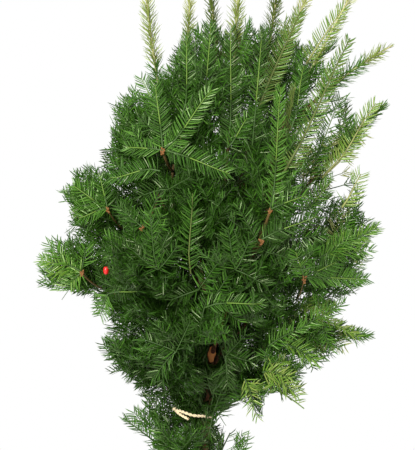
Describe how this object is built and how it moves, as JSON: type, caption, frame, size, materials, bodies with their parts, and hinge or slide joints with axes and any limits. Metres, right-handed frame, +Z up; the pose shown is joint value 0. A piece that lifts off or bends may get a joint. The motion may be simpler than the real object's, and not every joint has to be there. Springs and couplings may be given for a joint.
{
  "type": "anglo-japanese yew",
  "caption": "Young bushy yew with one main stem, steeply rising boughs in dense needle foliage, slender upright leaders and a loose twine tie round its foot.",
  "frame": {"origin": "centre of the main stem's flat cut at ground level", "axes": "+Z up along the height, +X to the plant's right as seen from the front, the front faces -Y"},
  "size_m": [0.5582, 0.457, 0.9806],
  "materials": {
    "bark": "thin flaking red-brown bark, matt",
    "needles": "sprays of deep green flat needles with a waxy sheen",
    "new_needles": "paler yellow-green needles on the year's leaders",
    "old_needles": "darkest green needles near the foot, slightly waxy",
    "twine": "straw-coloured twisted natural twine, matt"
  },
  "bodies": {
    "root": {"bough_back_leader": "bark", "bough_back_low": "bark", "bough_back_mid_left": "bark", "bough_back_mid_right": "bark", "bough_back_upper_left": "bark", "bough_back_upper_right": "bark", "bough_front_centre": "bark", "bough_front_fan": "bark", "bough_front_leader": "bark", "bough_front_low": "bark", "bough_front_mid_left": "bark", "bough_front_mid_right": "bark", "bough_front_right": "bark", "bough_left_leader": "bark", "bough_left_low": "bark", "bough_left_lower": "bark", "bough_left_mid": "bark", "bough_left_upper": "bark", "bough_mid_leader": "bark", "bough_right_foot": "bark", "bough_right_leader": "bark", "bough_right_low": "bark", "bough_right_lower": "bark", "bough_right_mid": "bark", "bough_right_top": "bark", "bough_right_upper": "bark", "bough_slant_leader": "bark", "foliage_back_leader": "new_needles", "foliage_back_low": "needles", "foliage_back_mid_left": "needles", "foliage_back_mid_right": "needles", "foliage_back_upper_left": "needles", "foliage_back_upper_right": "needles", "foliage_foot_front": "old_needles", "foliage_foot_left": "old_needles", "foliage_foot_right": "old_needles", "foliage_front_centre": "needles", "foliage_front_fan": "needles", "foliage_front_leader": "new_needles", "foliage_front_low": "needles", "foliage_front_mid_left": "needles", "foliage_front_mid_right": "needles", "foliage_front_right": "new_needles", "foliage_left_leader": "new_needles", "foliage_left_low": "needles", "foliage_left_lower": "needles", "foliage_left_mid": "needles", "foliage_left_upper": "needles", "foliage_mid_leader": "new_needles", "foliage_right_foot": "needles", "foliage_right_leader": "new_needles", "foliage_right_low": "needles", "foliage_right_lower": "needles", "foliage_right_mid": "needles", "foliage_right_top": "new_needles", "foliage_right_upper": "needles", "foliage_slant_leader": "new_needles", "foliage_top_leader": "new_needles", "main_stem": "bark", "twine_tie": "twine"}
  },
  "joints": []
}
